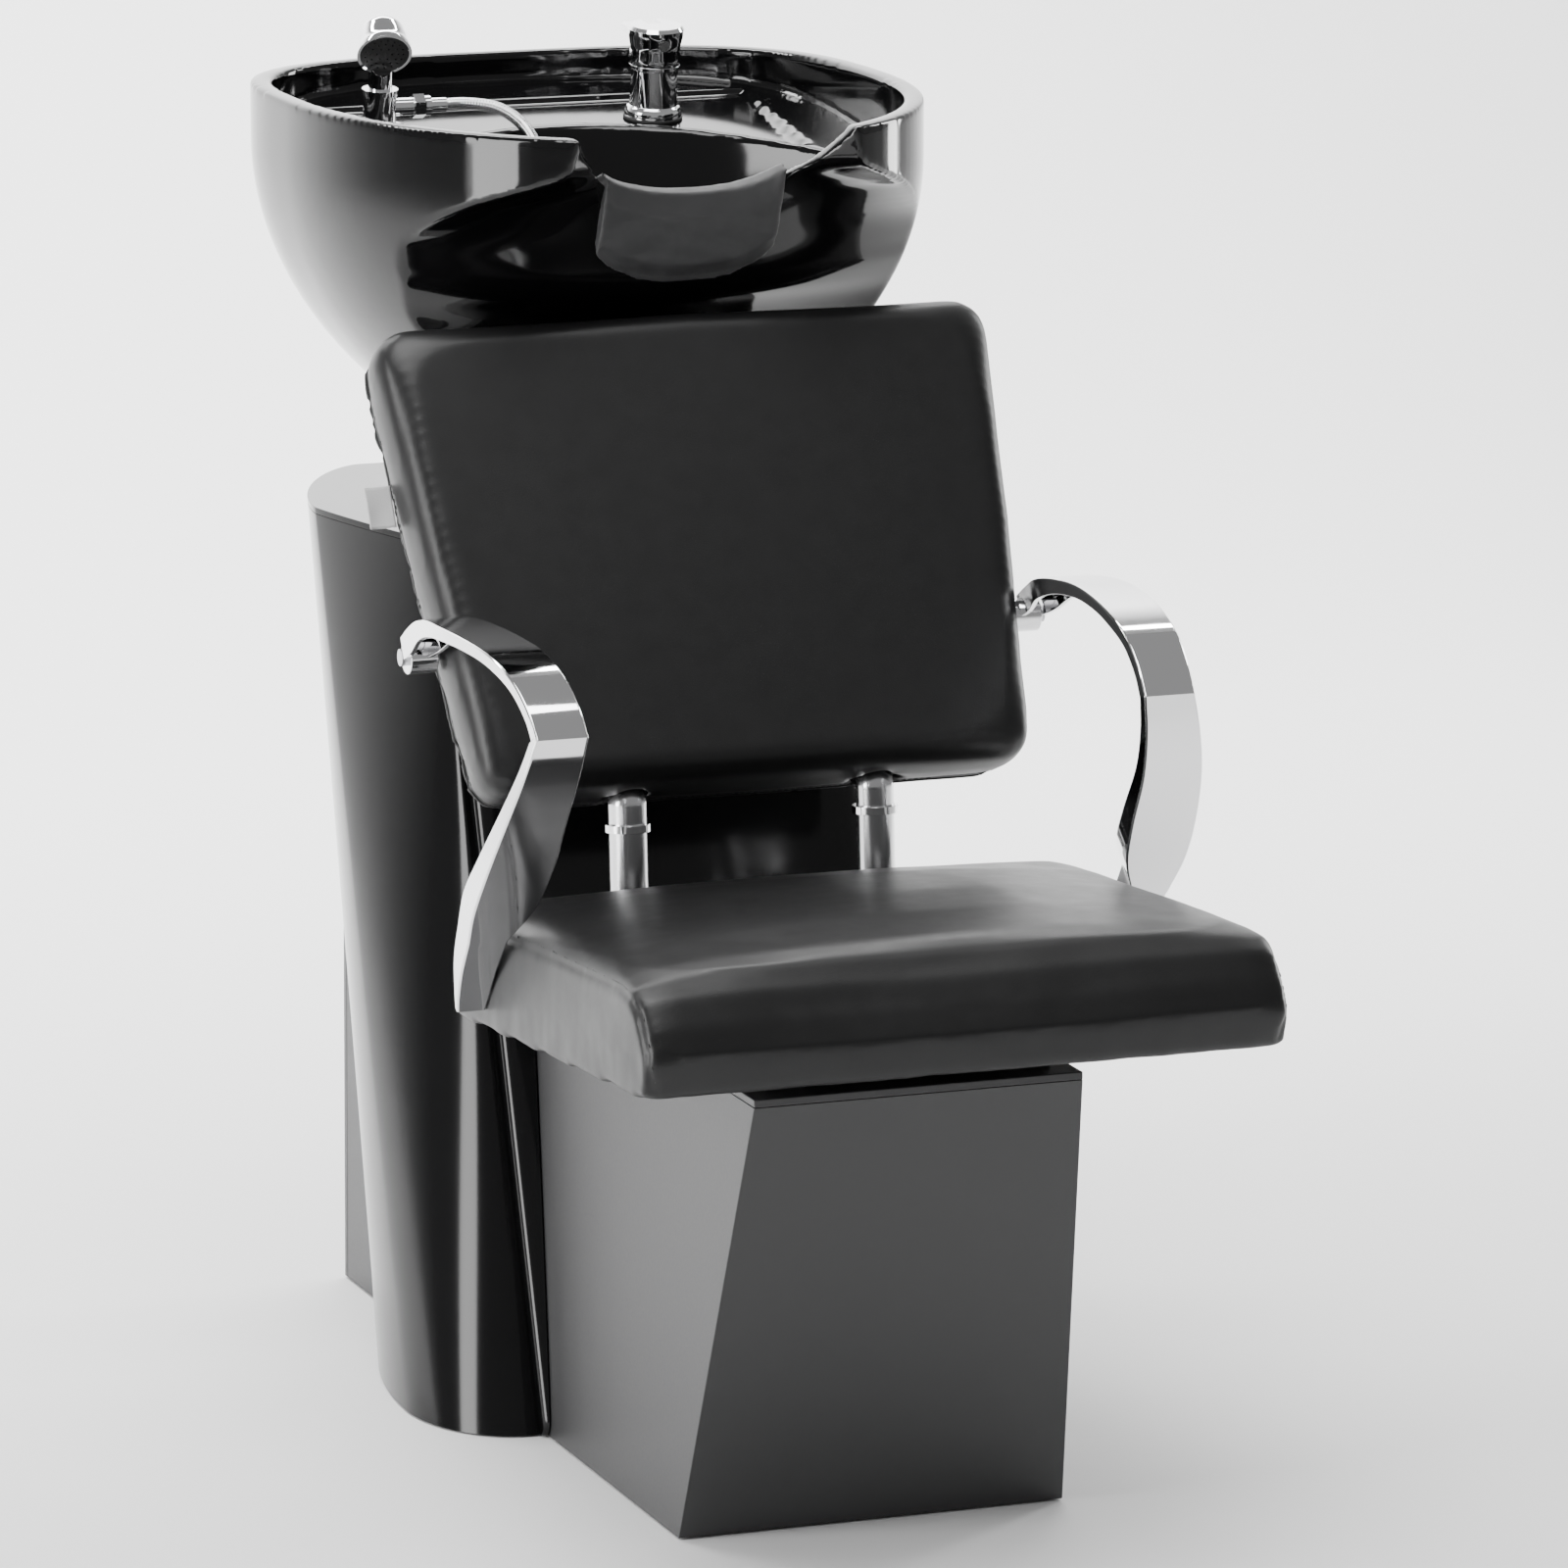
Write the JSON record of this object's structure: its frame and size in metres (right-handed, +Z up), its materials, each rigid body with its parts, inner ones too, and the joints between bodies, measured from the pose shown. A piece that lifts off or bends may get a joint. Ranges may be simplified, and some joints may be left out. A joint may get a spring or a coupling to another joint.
{
  "type": "shampoo backwash unit",
  "caption": "Salon backwash unit: padded seat with strap armrests on a faceted pedestal, and a tilting ceramic wash basin with mixer tap and hand shower on a leaning column.",
  "frame": {"origin": "on the floor under the middle of the pedestal's footprint", "axes": "+X to the viewer's right when facing the chair, +Y from the seat towards the basin's back, +Z up"},
  "size_m": [0.56, 1.0815, 1.0394],
  "materials": {
    "pedestal_paint": "satin powder coat, dark grey",
    "frame_steel": "black powder coat",
    "fastener_steel": "zinc plated",
    "black_rubber": "matt",
    "gloss_shell": "high gloss black",
    "frame_wood": "black-painted plywood",
    "black_leather": "smooth synthetic leather",
    "chrome": "polished",
    "tag_cloth": "plain grey ribbon",
    "black_glaze": "gloss glaze",
    "neck_gel": "matt, softly wrinkled",
    "brass": "plain",
    "white_plastic": "moulded",
    "button_metal": "satin disc",
    "black_plastic": "perforated spray face",
    "hose_steel": "wound metal hose"
  },
  "bodies": {
    "unit": {"base_shell": "pedestal_paint", "base_rear_panel": "pedestal_paint", "base_top_plate": "pedestal_paint", "floor_plate": "frame_steel", "base_feet": "black_rubber", "column_post": "frame_steel", "post_bolts": "fastener_steel", "column_shell": "gloss_shell", "column_front_panel": "gloss_shell", "column_top": "gloss_shell", "service_panel": "gloss_shell", "service_screws": "fastener_steel", "tilt_fork": "frame_steel", "fork_bolts": "fastener_steel", "tilt_pin": "fastener_steel", "tilt_pin_rings": "fastener_steel", "seat_rails": "frame_steel", "seat_frame": "frame_wood", "seat_cushion": "black_leather", "seat_bolts": "fastener_steel", "upright_left": "chrome", "upright_right": "chrome", "upright_feet": "frame_steel", "upright_collars": "chrome", "back_frame": "frame_wood", "back_cushion": "black_leather", "back_cover": "black_leather", "side_tag": "tag_cloth", "arm_left": "chrome", "arm_right": "chrome", "arm_bolts_upper": "fastener_steel", "arm_bolts_lower": "fastener_steel"},
    "basin": {"basin": "black_glaze", "neck_rest": "neck_gel", "basin_pad": "black_rubber", "basin_bracket": "frame_steel", "basin_bolts": "fastener_steel", "drain_flange": "chrome", "drain_gasket": "black_rubber", "drain_tail": "chrome", "drain_nut": "chrome", "mixer_gasket": "black_rubber", "mixer_body": "chrome", "mixer_nut": "brass", "mixer_inlets": "brass", "mixer_cartridge": "white_plastic", "shower_flange": "chrome", "shower_gasket": "black_rubber", "shower_nut": "brass", "hose_guide": "chrome", "shower_hose": "hose_steel"},
    "strainer": {"strainer": "chrome"},
    "mixer_cap": {"mixer_cap": "chrome", "mixer_button": "button_metal"},
    "mixer_lever": {"mixer_lever": "chrome"},
    "hand_shower": {"hand_shower": "chrome", "spray_face": "black_plastic", "hose_nut": "chrome"}
  },
  "joints": [
    {"name": "basin_tilt", "type": "hinge", "parent": "unit", "child": "basin", "pos_m": [0, 0.25, 0.678], "axis": [1, 0, 0], "range_deg": [-15, 0]},
    {"name": "strainer_lift", "type": "slide", "parent": "basin", "child": "strainer", "axis": [0, 0, 1], "range_m": [0, 0.08]},
    {"name": "mixer_turn", "type": "hinge", "parent": "basin", "child": "mixer_cap", "pos_m": [0.087, 0.319, 0.94636], "axis": [0, -0.1152, 0.9933], "range_deg": [-45, 45]},
    {"name": "lever_lift", "type": "hinge", "parent": "mixer_cap", "child": "mixer_lever", "pos_m": [0.087, 0.32119, 1.00561], "axis": [1, 0, 0], "range_deg": [0, 20]},
    {"name": "shower_lift", "type": "slide", "parent": "basin", "child": "hand_shower", "axis": [0, -0.1152, 0.9933], "range_m": [0, 0.1], "deforming": ["shower_hose"]}
  ]
}
